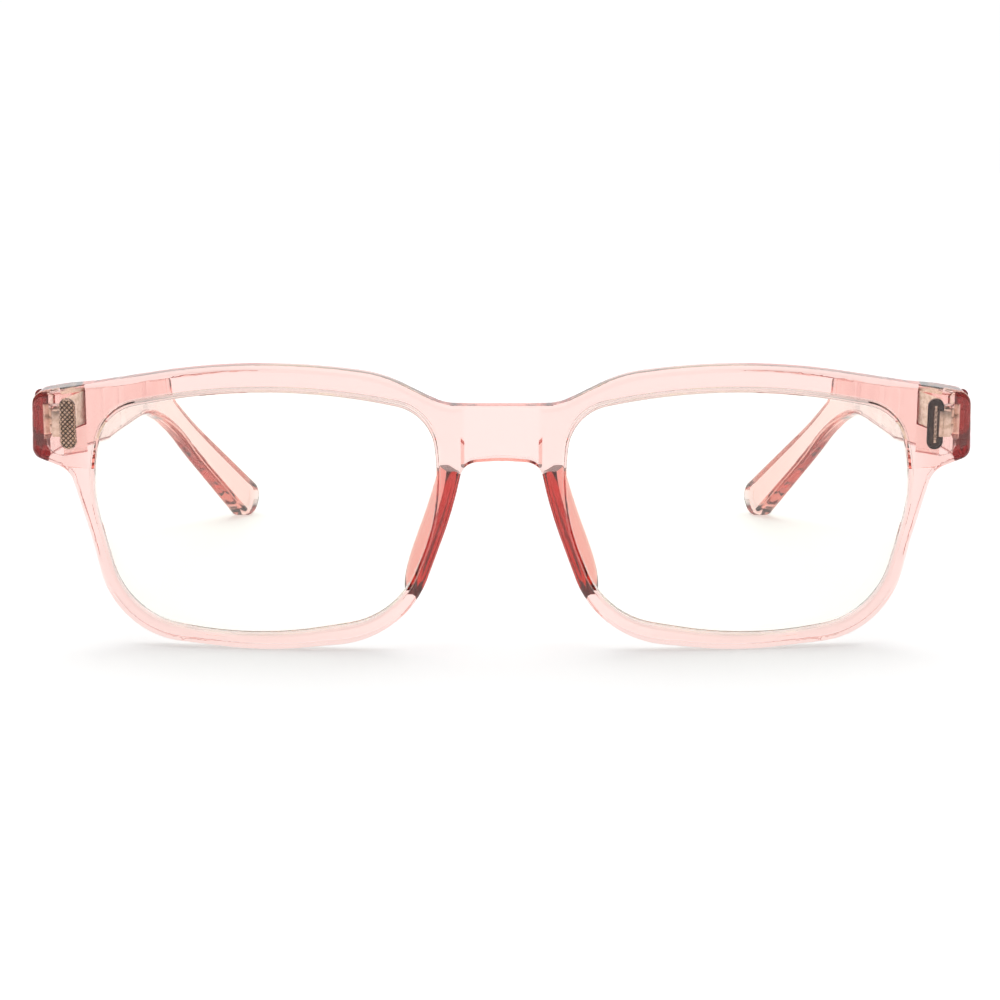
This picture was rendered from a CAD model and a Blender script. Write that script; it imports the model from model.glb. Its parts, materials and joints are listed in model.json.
# Blue light glasses in clear pink plastic, standing open on their rims and temple tips.
# Metres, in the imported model's own frame: the front faces -Y, the temples run back towards +Y.
import json
import math

import bpy
from mathutils import Matrix, Vector


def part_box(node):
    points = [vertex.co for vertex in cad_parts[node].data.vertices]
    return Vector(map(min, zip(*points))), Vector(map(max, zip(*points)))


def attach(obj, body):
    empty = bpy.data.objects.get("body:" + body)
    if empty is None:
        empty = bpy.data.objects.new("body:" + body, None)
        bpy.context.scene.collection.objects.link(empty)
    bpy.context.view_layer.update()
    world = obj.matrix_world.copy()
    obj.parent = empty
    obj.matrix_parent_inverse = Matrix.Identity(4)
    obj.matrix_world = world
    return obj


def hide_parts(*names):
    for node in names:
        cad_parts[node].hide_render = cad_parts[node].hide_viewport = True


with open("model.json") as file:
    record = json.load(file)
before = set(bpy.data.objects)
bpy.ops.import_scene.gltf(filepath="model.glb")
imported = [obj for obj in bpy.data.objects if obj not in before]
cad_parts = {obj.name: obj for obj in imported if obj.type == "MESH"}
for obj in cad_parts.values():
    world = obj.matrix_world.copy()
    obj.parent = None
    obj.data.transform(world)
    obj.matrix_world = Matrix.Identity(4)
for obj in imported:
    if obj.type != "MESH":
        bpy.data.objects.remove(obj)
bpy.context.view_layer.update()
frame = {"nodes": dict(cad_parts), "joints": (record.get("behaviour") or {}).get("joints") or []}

SIDES = ("left", "right")
MM = 0.001


# ---------------------------------------------------------------- camera, floor and light

# The front leans back. The camera looks down on it by this angle, taken from the front's own plane
CAMERA_TO_FRONT = math.radians(13.117)
CAMERA_DISTANCE = 0.340
CAMERA_LENS = 84.0
CAMERA_SENSOR = 36.0
CAMERA_SHIFT = -0.0015
AIM_UP_THE_FRONT = 0.54
AIM_INTO_THE_FRONT = 1.1 * MM


def fold_axis(side):
    """The pivot of a temple's fold, in the middle of its hinge, and the fold's axis pointing up."""
    joint = [joint for joint in frame["joints"] if joint["name"] == f"{side}_temple_fold"][0]
    axis = Vector(joint["axis"])
    return Vector(joint["pos_m"]), axis if axis.z > 0 else -axis


def front_lean():
    """How far the front leans back from upright."""
    axis = fold_axis("left")[1]
    return math.atan2(-axis.y, axis.z)


def set_camera():
    """Looks squarely at the middle of the front, a little down on it."""
    low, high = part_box("front_frame")
    aim = Vector((0.0, low.y + AIM_INTO_THE_FRONT, low.z + (high.z - low.z) * AIM_UP_THE_FRONT))
    down = CAMERA_TO_FRONT - front_lean()
    back = Vector((0.0, -math.cos(down), math.sin(down)))
    data = bpy.data.cameras.new("camera")
    data.lens = CAMERA_LENS
    data.sensor_width = CAMERA_SENSOR
    data.shift_x = CAMERA_SHIFT
    data.clip_start = 0.01
    camera = bpy.data.objects.new("camera", data)
    camera.location = aim + back * CAMERA_DISTANCE
    camera.rotation_mode = "QUATERNION"
    camera.rotation_quaternion = (-back).to_track_quat("-Z", "Y")
    bpy.context.scene.collection.objects.link(camera)
    bpy.context.scene.camera = camera


def soft_light(name, place, spread, power):
    """A broad far-off softbox, spread over an angle of the sky, that shines on the middle."""
    data = bpy.data.lights.new(name, "SUN")
    data.angle = math.radians(spread)
    data.energy = power
    light = bpy.data.objects.new(name, data)
    light.location = place
    light.rotation_mode = "QUATERNION"
    light.rotation_quaternion = (-Vector(place)).to_track_quat("-Z", "Y")
    bpy.context.scene.collection.objects.link(light)


STUDIO_WHITE = 1.02
STUDIO_DARK = 0.02
STUDIO_LIT = 1.05
SOFT_LIGHT_PLACE = (0.0, 0.35, 1.6)
SOFT_LIGHT_SPREAD = 70.0
SOFT_LIGHT_POWER = 0.50
FLOOR_SIZE = 30.0
FLOOR_GLOW = 0.42
# Light crosses many walls inside clear plastic
LIGHT_BOUNCES = 28


def white_studio():
    """A white backdrop and ceiling between dark sides, which give clear edges dark contours."""
    world = bpy.data.worlds.new("white_studio")
    world.use_nodes = True
    nodes, links = world.node_tree.nodes, world.node_tree.links
    seen = nodes["Background"]
    seen.inputs["Strength"].default_value = STUDIO_WHITE
    seen.inputs["Color"].default_value = (1.0, 1.0, 1.0, 1.0)
    lit = nodes.new("ShaderNodeBackground")
    lit.inputs["Color"].default_value = (1.0, 1.0, 1.0, 1.0)
    place = nodes.new("ShaderNodeTexCoord")
    split = nodes.new("ShaderNodeSeparateXYZ")
    links.new(place.outputs["Generated"], split.inputs["Vector"])

    def lit_towards(direction, start, end):
        value = split.outputs[direction]
        return between(nodes, links, value, STUDIO_DARK, STUDIO_LIT, start, end, "SMOOTHSTEP")

    rear = lit_towards("Y", 0.30, 0.70)
    above = lit_towards("Z", 0.68, 0.90)
    links.new(combined(nodes, links, "MAXIMUM", rear, above), lit.inputs["Strength"])
    ray = nodes.new("ShaderNodeLightPath")
    choose = nodes.new("ShaderNodeMixShader")
    links.new(ray.outputs["Is Camera Ray"], choose.inputs["Fac"])
    links.new(lit.outputs["Background"], choose.inputs[1])
    links.new(seen.outputs["Background"], choose.inputs[2])
    links.new(choose.outputs["Shader"], nodes["World Output"].inputs["Surface"])
    bpy.context.scene.world = world


def set_studio():
    """Backdrop, floor and light, and enough bounces for clear plastic."""
    scene = bpy.context.scene
    scene.view_settings.view_transform = "Standard"
    for kind in ("max_bounces", "glossy_bounces", "transmission_bounces"):
        setattr(scene.cycles, kind, LIGHT_BOUNCES)
    white_studio()
    bpy.ops.object.select_all(action="DESELECT")
    bpy.ops.mesh.primitive_plane_add(size=FLOOR_SIZE)
    floor = bpy.context.object
    floor.name = "floor"
    floor.data.materials.append(floor_paper())
    soft_light("soft_top_light", SOFT_LIGHT_PLACE, SOFT_LIGHT_SPREAD, SOFT_LIGHT_POWER)


def floor_paper():
    """White paper, lit a little from behind so that it never goes grey far off."""
    material, nodes, links, shader = new_material("white_paper")
    tooth = nodes.new("ShaderNodeTexNoise")
    tooth.inputs["Scale"].default_value = 900.0
    links.new(object_place(nodes), tooth.inputs["Vector"])
    links.new(between(nodes, links, tooth.outputs["Fac"], 0.72, 0.84), shader.inputs["Roughness"])
    shader.inputs["Base Color"].default_value = (0.94, 0.94, 0.94, 1.0)
    shader.inputs["Specular IOR Level"].default_value = 0.2
    shader.inputs["Emission Color"].default_value = (1.0, 1.0, 1.0, 1.0)
    shader.inputs["Emission Strength"].default_value = FLOOR_GLOW
    return material


# ---------------------------------------------------------------- materials


def new_material(name):
    """A material with its nodes, its links and its main shader."""
    material = bpy.data.materials.new(name)
    material.use_nodes = True
    nodes = material.node_tree.nodes
    return material, nodes, material.node_tree.links, nodes["Principled BSDF"]


def object_place(nodes):
    """Where a point lies on its own piece."""
    return nodes.new("ShaderNodeTexCoord").outputs["Object"]


def between(nodes, links, value, low, high, start=0.3, end=0.7, course="LINEAR"):
    """A value that runs from low to high as another one runs from start to end."""
    step = nodes.new("ShaderNodeMapRange")
    step.interpolation_type = course
    for name, number in (("From Min", start), ("From Max", end), ("To Min", low), ("To Max", high)):
        step.inputs[name].default_value = number
    links.new(value, step.inputs["Value"])
    return step.outputs["Result"]


def combined(nodes, links, operation, first, second):
    """Two values multiplied, added, or the larger of them."""
    result = nodes.new("ShaderNodeMath")
    result.operation = operation
    links.new(first, result.inputs[0])
    links.new(second, result.inputs[1])
    return result.outputs[0]


def handling_group():
    """Wear of polished surfaces: moulding waves, hair scratches and faint smears of grease."""
    group = bpy.data.node_groups.new("handling_marks", "ShaderNodeTree")
    for name, default in (("Clean", 0.02), ("Smeared", 0.08), ("Scratches", 0.05), ("Waves", 1.0)):
        socket = group.interface.new_socket(
            name=name, in_out="INPUT", socket_type="NodeSocketFloat"
        )
        socket.default_value = default
    for name in ("Roughness", "Height"):
        group.interface.new_socket(name=name, in_out="OUTPUT", socket_type="NodeSocketFloat")
    nodes, links = group.nodes, group.links
    given = nodes.new("NodeGroupInput")
    made = nodes.new("NodeGroupOutput")
    place = object_place(nodes)

    def noise(scale, detail, stretch=(1.0, 1.0, 1.0), turn=(0.0, 0.0, 0.0)):
        mapping = nodes.new("ShaderNodeMapping")
        mapping.inputs["Scale"].default_value = stretch
        mapping.inputs["Rotation"].default_value = turn
        links.new(place, mapping.inputs["Vector"])
        texture = nodes.new("ShaderNodeTexNoise")
        texture.inputs["Scale"].default_value = scale
        texture.inputs["Detail"].default_value = detail
        links.new(mapping.outputs["Vector"], texture.inputs["Vector"])
        return texture.outputs["Fac"]

    smear = between(nodes, links, noise(95.0, 3.0), 0.0, 1.0, 0.52, 0.72)
    hairs = [
        between(nodes, links, noise(600.0, 1.0, stretch, turn), 0.0, 1.0, 0.70, 0.76)
        for stretch, turn in (
            ((0.06, 6.0, 1.0), (0.2, 0.1, 0.7)),
            ((5.0, 0.08, 1.0), (0.1, 0.4, -0.5)),
        )
    ]
    both_ways = combined(nodes, links, "ADD", *hairs)
    scratched = combined(nodes, links, "MULTIPLY", both_ways, given.outputs["Scratches"])
    spread = nodes.new("ShaderNodeMix")
    links.new(smear, spread.inputs[0])
    links.new(given.outputs["Clean"], spread.inputs[2])
    links.new(given.outputs["Smeared"], spread.inputs[3])
    links.new(combined(nodes, links, "ADD", spread.outputs[0], scratched), made.inputs["Roughness"])
    waves = combined(nodes, links, "MULTIPLY", noise(130.0, 0.0), given.outputs["Waves"])
    links.new(waves, made.inputs["Height"])
    return group


HANDLING = handling_group()


def handled(nodes, links, shader, clean, smeared, scratches, waves, height):
    """Gives a shader the handling marks, with its own amounts."""
    marks = nodes.new("ShaderNodeGroup")
    marks.node_tree = HANDLING
    for name, value in (
        ("Clean", clean),
        ("Smeared", smeared),
        ("Scratches", scratches),
        ("Waves", waves),
    ):
        marks.inputs[name].default_value = value
    links.new(marks.outputs["Roughness"], shader.inputs["Roughness"])
    bump = nodes.new("ShaderNodeBump")
    bump.inputs["Strength"].default_value = 1.0
    bump.inputs["Distance"].default_value = height
    links.new(marks.outputs["Height"], bump.inputs["Height"])
    links.new(bump.outputs["Normal"], shader.inputs["Normal"])


# How much of the absorption colour's range the most absorbed of the three colours uses
ABSORPTION_RANGE = 0.6


def clear_plastic(name, taken_per_mm, clean, smeared, waves):
    """Clear plastic that takes off a share of red, green and blue for each millimetre of depth."""
    material, nodes, links, shader = new_material(name)
    shader.inputs["Base Color"].default_value = (1.0, 1.0, 1.0, 1.0)
    shader.inputs["Transmission Weight"].default_value = 1.0
    shader.inputs["IOR"].default_value = 1.49
    handled(nodes, links, shader, clean, smeared, 0.02, waves, 0.02 * MM)
    depth = nodes.new("ShaderNodeVolumeAbsorption")
    most = max(taken_per_mm)
    depth.inputs["Color"].default_value = (
        *[1.0 - ABSORPTION_RANGE * taken / most for taken in taken_per_mm],
        1.0,
    )
    depth.inputs["Density"].default_value = most / MM / ABSORPTION_RANGE
    links.new(depth.outputs["Volume"], nodes["Material Output"].inputs["Volume"])
    return material


def plated_metal(name, bright, dark, roughness, grain):
    """Plated metal with a faint brushed grain and duller patches."""
    material, nodes, links, shader = new_material(name)
    shader.inputs["Metallic"].default_value = 1.0
    tone = nodes.new("ShaderNodeTexNoise")
    tone.inputs["Scale"].default_value = 1400.0
    tone.inputs["Detail"].default_value = 3.0
    links.new(object_place(nodes), tone.inputs["Vector"])
    colour = nodes.new("ShaderNodeValToRGB")
    colour.color_ramp.elements[0].position = 0.35
    colour.color_ramp.elements[0].color = (*dark, 1.0)
    colour.color_ramp.elements[1].position = 0.6
    colour.color_ramp.elements[1].color = (*bright, 1.0)
    links.new(tone.outputs["Fac"], colour.inputs["Fac"])
    links.new(colour.outputs["Color"], shader.inputs["Base Color"])
    handled(nodes, links, shader, roughness, roughness + 0.12, 0.15, grain, 0.01 * MM)
    return material


FRAME_PLASTIC = clear_plastic(
    "clear_pink_plastic", (0.014, 0.092, 0.108), clean=0.0, smeared=0.02, waves=0.6
)
PAD_PLASTIC = clear_plastic(
    "clear_pad_plastic", (0.09, 0.70, 0.84), clean=0.02, smeared=0.06, waves=0.8
)
LENS_RESIN = clear_plastic(
    "pale_filter_resin", (0.0045, 0.0008, 0.0270), clean=0.0, smeared=0.006, waves=0.0
)
HINGE_PLATING = plated_metal(
    "nickel_gold_plating", (0.95, 0.93, 0.80), (0.70, 0.66, 0.50), roughness=0.30, grain=0.6
)
TARNISH = plated_metal(
    "tarnished_recesses", (0.075, 0.066, 0.045), (0.020, 0.018, 0.012), roughness=0.42, grain=0.3
)
SCREW_PLATING = plated_metal(
    "bright_screw_plating", (0.90, 0.89, 0.87), (0.68, 0.67, 0.64), roughness=0.14, grain=0.4
)


# ---------------------------------------------------------------- making pieces

# Sides of every turned piece
ROUND_SIDES = 48
SMOOTHED_BELOW = 32.0


def take_in_hand(piece):
    """Makes a piece the only one selected and the one that the next steps work on."""
    bpy.ops.object.select_all(action="DESELECT")
    piece.select_set(True)
    bpy.context.view_layer.objects.active = piece


def pick(kind, wanted):
    """Selects the edges or faces in hand that wanted() accepts, and leaves edit mode on."""
    bpy.ops.object.mode_set(mode="OBJECT")
    mesh = bpy.context.object.data
    for item in mesh.vertices:
        item.select = False
    for item in mesh.edges:
        item.select = kind == "EDGE" and wanted(mesh, item)
    for item in mesh.polygons:
        item.select = kind == "FACE" and wanted(mesh, item)
    bpy.ops.object.mode_set(mode="EDIT")
    bpy.ops.mesh.select_mode(type=kind)


def runs_along(mesh, edge, axis):
    """True where an edge runs along one of the three axes."""
    first, second = (mesh.vertices[i].co for i in edge.vertices)
    along = (second - first).normalized()
    return abs(along[axis]) > 0.99


def block(name, low, high):
    """A box between two corners, to be shaped further."""
    bpy.ops.object.select_all(action="DESELECT")
    bpy.ops.mesh.primitive_cube_add(size=1.0)
    piece = bpy.context.object
    piece.name = name
    low, high = Vector(low), Vector(high)
    piece.scale = high - low
    piece.location = (low + high) / 2
    bpy.ops.object.transform_apply(location=True, rotation=True, scale=True)
    return piece


def bevel(piece, width, segments=2, angle=30.0):
    """Rounds a piece's sharp edges."""
    soften = piece.modifiers.new("soft_edges", "BEVEL")
    soften.width = width
    soften.segments = segments
    soften.limit_method = "ANGLE"
    soften.angle_limit = math.radians(angle)
    bpy.context.view_layer.objects.active = piece
    bpy.ops.object.modifier_apply(modifier=soften.name)


def joined(name, pieces):
    """Several pieces made into one, under a new name."""
    bpy.ops.object.select_all(action="DESELECT")
    for piece in pieces:
        piece.select_set(True)
    bpy.context.view_layer.objects.active = pieces[0]
    bpy.ops.object.join()
    pieces[0].name = name
    return pieces[0]


def coat(piece, material):
    """Gives a whole piece one finish."""
    piece.data.materials.clear()
    piece.data.materials.append(material)


def ring(name, outer, inner, low, high, edge):
    """An upright tube with softened ends, such as a hinge knuckle."""
    bpy.ops.object.select_all(action="DESELECT")
    bpy.ops.mesh.primitive_cylinder_add(
        vertices=ROUND_SIDES, radius=outer, depth=high - low, end_fill_type="NGON"
    )
    piece = bpy.context.object
    piece.name = name
    piece.location = (0.0, 0.0, (low + high) / 2)
    bpy.ops.object.transform_apply(location=True, rotation=True, scale=True)
    pick("FACE", lambda mesh, face: abs(face.normal.z) > 0.9)
    bpy.ops.mesh.inset(thickness=outer - inner)
    bpy.ops.mesh.bridge_edge_loops()
    bpy.ops.object.mode_set(mode="OBJECT")
    bevel(piece, edge, segments=2, angle=50.0)
    return piece


def stand_at_hinge(piece, side):
    """Moves a piece made round the hinge's middle to its place, mirrored for the wearer's right."""
    middle, _ = fold_axis(side)
    mirror = Matrix.Scale(-1.0 if side == "right" else 1.0, 4, Vector((1.0, 0.0, 0.0)))
    turn = Matrix.Rotation(front_lean(), 4, "X")
    piece.data.transform(Matrix.Translation(middle) @ turn @ mirror)
    take_in_hand(piece)
    bpy.ops.object.mode_set(mode="EDIT")
    bpy.ops.mesh.select_all(action="SELECT")
    bpy.ops.mesh.normals_make_consistent(inside=False)
    bpy.ops.object.mode_set(mode="OBJECT")


def finish_metal(piece, side, node, body):
    """Puts a hinge piece in its place, smooths its round faces and says what it stands for."""
    stand_at_hinge(piece, side)
    bpy.ops.object.shade_smooth_by_angle(angle=math.radians(SMOOTHED_BELOW))
    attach(piece, body)
    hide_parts(node)


# ---------------------------------------------------------------- hinges

KNUCKLE = 0.90 * MM
BORE = 0.63 * MM
FRONT_KNUCKLE = 1.35 * MM
TEMPLE_KNUCKLE = 1.10 * MM
KNUCKLE_GAP = 0.05 * MM
STACK = TEMPLE_KNUCKLE + 2 * KNUCKLE_GAP + 2 * FRONT_KNUCKLE
KNUCKLE_AT = TEMPLE_KNUCKLE / 2 + KNUCKLE_GAP + FRONT_KNUCKLE / 2
PIN_SETBACK = 1.50 * MM
ANCHOR_COVER = 1.50 * MM
ANCHOR_THICK = 1.00 * MM
ANCHOR_WIDTH = 2.40 * MM
ANCHOR_HEIGHT = 7.50 * MM
ANCHOR_X = -2.10 * MM
# A little under a full half round, so that the plate's two ends keep a short flat
ANCHOR_ROUNDING = 0.98
# Moulded-in metal stands into the plastic by this much, so that no air shows between the two
BITE = 0.03 * MM
KNURL_PITCH = 0.50 * MM
KNURL_VALLEY = 0.05 * MM
KNURL_SLOPE = 0.11 * MM
KNURL_HEIGHT = 0.14 * MM
# More cuts than reach across the plate either way
KNURL_CUTS = 11
ARM_EDGE = 0.08 * MM
KNUCKLE_EDGE = 0.07 * MM
WEB_EDGE = 0.12 * MM
PLATE_EDGE = 0.10 * MM
# The front leaf's web and arms reach this far past the pin, and every arm stays clear of the bore
ARM_SIDE = KNUCKLE / 3
FRONT_ARM_TO_BORE = 0.08 * MM
TEMPLE_ARM_TO_BORE = 0.06 * MM
ARM_INTO_LEAF = 0.90 * MM
LEAF_FACE = 0.80 * MM
LEAF_BACK = 1.70 * MM
LEAF_START = 1.20 * MM
LEAF_END = 9.20 * MM
LEAF_HALF_HEIGHT = 2.60 * MM
LEAF_CORNER = 0.70 * MM
SHANK = 0.60 * MM
HEAD = 0.95 * MM
HEAD_HEIGHT = 0.50 * MM
# The head from its under side up: the rise of each step, and its width against the step below
HEAD_STEPS = (
    (0.001 * MM, HEAD / SHANK),
    (0.55 * HEAD_HEIGHT, 1.0),
    (0.25 * HEAD_HEIGHT, 0.90),
    (0.13 * HEAD_HEIGHT, 0.75),
    (0.05 * HEAD_HEIGHT, 0.45),
)
SLOT_HALF_WIDTH = 0.15 * MM
SLOT_DEPTH = 0.30 * MM
THREAD_STEP = 0.15 * MM
THREAD_CUTS = 8
THREAD_ROOT = 0.86
SAME_HEIGHT = 1e-7


def anchor_plate():
    """The oval plate, knurled on both faces with rows of small pyramids."""
    back = -(PIN_SETBACK + ANCHOR_COVER)
    low = (
        ANCHOR_X - ANCHOR_WIDTH / 2 - BITE,
        back - ANCHOR_THICK - BITE,
        -ANCHOR_HEIGHT / 2 - BITE,
    )
    high = (ANCHOR_X + ANCHOR_WIDTH / 2 + BITE, back + BITE, ANCHOR_HEIGHT / 2 + BITE)
    piece = block("anchor_plate", low, high)
    pick("EDGE", lambda mesh, edge: runs_along(mesh, edge, 1))
    bpy.ops.mesh.bevel(offset=ANCHOR_ROUNDING * ANCHOR_WIDTH / 2, segments=10, affect="EDGES")
    reach = (ANCHOR_WIDTH + ANCHOR_HEIGHT) / 2
    for lean in (1.0, -1.0):
        normal = Vector((1.0, 0.0, lean)).normalized()
        for step in range(-KNURL_CUTS, KNURL_CUTS):
            offset = (step + 0.5) * KNURL_PITCH
            if abs(offset) > reach:
                continue
            bpy.ops.mesh.select_all(action="SELECT")
            point = Vector((ANCHOR_X, 0.0, 0.0)) + normal * offset
            bpy.ops.mesh.bisect(plane_co=point, plane_no=normal)
    pick("FACE", lambda mesh, face: abs(face.normal.y) > 0.99)
    bpy.ops.mesh.inset(thickness=KNURL_VALLEY, depth=0.0, use_individual=True)
    bpy.ops.mesh.inset(thickness=KNURL_SLOPE, depth=KNURL_HEIGHT, use_individual=True)
    bpy.ops.object.mode_set(mode="OBJECT")
    for material in (HINGE_PLATING, TARNISH):
        piece.data.materials.append(material)
    # What lies no higher than the plate's own faces is valley or rim, and is tarnished
    for face in piece.data.polygons:
        on_plate = low[1] - 0.1 * KNURL_HEIGHT < face.center.y < high[1] + 0.1 * KNURL_HEIGHT
        face.material_index = 1 if on_plate else 0
    return piece


def front_leaf(side):
    """Knurled anchor plate, the web and two arms that leave it, and their knuckles."""
    back = -(PIN_SETBACK + ANCHOR_COVER)
    web = block(
        "web",
        (ANCHOR_X, back - 0.9 * ANCHOR_THICK, -STACK / 2 - BITE),
        (ARM_SIDE + BITE, back - 0.1 * ANCHOR_THICK, STACK / 2 + BITE),
    )
    bevel(web, WEB_EDGE)
    coat(web, HINGE_PLATING)
    parts = [anchor_plate(), web]
    for sign in (1, -1):
        middle = sign * KNUCKLE_AT
        half = FRONT_KNUCKLE / 2
        arm = block(
            "arm",
            (-KNUCKLE - BITE, back - ANCHOR_THICK / 2, middle - half),
            (ARM_SIDE + BITE, -BORE - FRONT_ARM_TO_BORE, middle + half),
        )
        bevel(arm, ARM_EDGE)
        knuckle = ring("knuckle", KNUCKLE, BORE, middle - half, middle + half, KNUCKLE_EDGE)
        for part in (arm, knuckle):
            coat(part, HINGE_PLATING)
            parts.append(part)
    leaf = joined(f"knurled_front_leaf_{side}", parts)
    finish_metal(leaf, side, f"hinge_front_leaf_{side}", "front")


def temple_leaf(side):
    """A plate with rounded corners, let into the temple, and its one knuckle."""
    plate = block(
        "plate",
        (LEAF_FACE, LEAF_START, -LEAF_HALF_HEIGHT),
        (LEAF_BACK, LEAF_END, LEAF_HALF_HEIGHT),
    )
    pick("EDGE", lambda mesh, edge: runs_along(mesh, edge, 0))
    bpy.ops.mesh.bevel(offset=LEAF_CORNER, segments=6, affect="EDGES")
    bpy.ops.object.mode_set(mode="OBJECT")
    bevel(plate, PLATE_EDGE)
    half = TEMPLE_KNUCKLE / 2
    arm = block(
        "arm",
        (BORE + TEMPLE_ARM_TO_BORE, 0.0, -half),
        (LEAF_BACK, LEAF_START + ARM_INTO_LEAF, half),
    )
    bevel(arm, ARM_EDGE)
    knuckle = ring("knuckle", KNUCKLE, BORE, -half, half, KNUCKLE_EDGE)
    leaf = joined(f"recessed_temple_leaf_{side}", [plate, arm, knuckle])
    coat(leaf, HINGE_PLATING)
    finish_metal(leaf, side, f"hinge_temple_leaf_{side}", f"{side}_temple")


def hinge_screw(side):
    """A domed, slotted screw with its thread as close rings at the lower end."""
    low = -STACK / 2
    bpy.ops.object.select_all(action="DESELECT")
    bpy.ops.mesh.primitive_cylinder_add(
        vertices=ROUND_SIDES, radius=SHANK, depth=STACK, end_fill_type="NGON"
    )
    piece = bpy.context.object
    for step in range(1, THREAD_CUTS + 1):
        bpy.ops.object.mode_set(mode="EDIT")
        bpy.ops.mesh.select_all(action="SELECT")
        bpy.ops.mesh.bisect(plane_co=(0, 0, low + step * THREAD_STEP), plane_no=(0, 0, 1))
    roots = [low + step * THREAD_STEP for step in range(1, THREAD_CUTS, 2)]

    def in_a_root(mesh, edge):
        heights = [mesh.vertices[i].co.z for i in edge.vertices]
        return all(any(abs(height - root) < SAME_HEIGHT for root in roots) for height in heights)

    pick("EDGE", in_a_root)
    bpy.ops.transform.resize(value=(THREAD_ROOT, THREAD_ROOT, 1.0), center_override=(0, 0, 0))
    # The head is drawn out of the shank's upper end
    pick("FACE", lambda mesh, face: face.normal.z > 0.9)
    for rise, share in HEAD_STEPS:
        bpy.ops.mesh.extrude_region_move(TRANSFORM_OT_translate={"value": (0, 0, rise)})
        bpy.ops.transform.resize(value=(share, share, 1.0), center_override=(0, 0, 0))
    bpy.ops.object.mode_set(mode="OBJECT")
    top = STACK / 2 + HEAD_HEIGHT
    cutter = block(
        "slot_cutter",
        (-2 * HEAD, -SLOT_HALF_WIDTH, top - SLOT_DEPTH),
        (2 * HEAD, SLOT_HALF_WIDTH, top + HEAD_HEIGHT),
    )
    slot = piece.modifiers.new("slot", "BOOLEAN")
    slot.operation = "DIFFERENCE"
    slot.object = cutter
    slot.solver = "EXACT"
    bpy.context.view_layer.objects.active = piece
    bpy.ops.object.modifier_apply(modifier=slot.name)
    bpy.data.objects.remove(cutter)
    piece.name = f"slotted_screw_{side}"
    coat(piece, SCREW_PLATING)
    finish_metal(piece, side, f"hinge_screw_{side}", "front")


# ---------------------------------------------------------------- plastic


def finish_plastic(node, material):
    """A plastic piece keeps its moulded shape and gets its finish."""
    coat(frame["nodes"][node], material)


set_camera()
set_studio()
finish_plastic("front_frame", FRAME_PLASTIC)
for side in SIDES:
    finish_plastic(f"lens_{side}", LENS_RESIN)
    finish_plastic(f"nose_pad_{side}", PAD_PLASTIC)
    finish_plastic(f"temple_{side}", FRAME_PLASTIC)
    front_leaf(side)
    temple_leaf(side)
    hinge_screw(side)
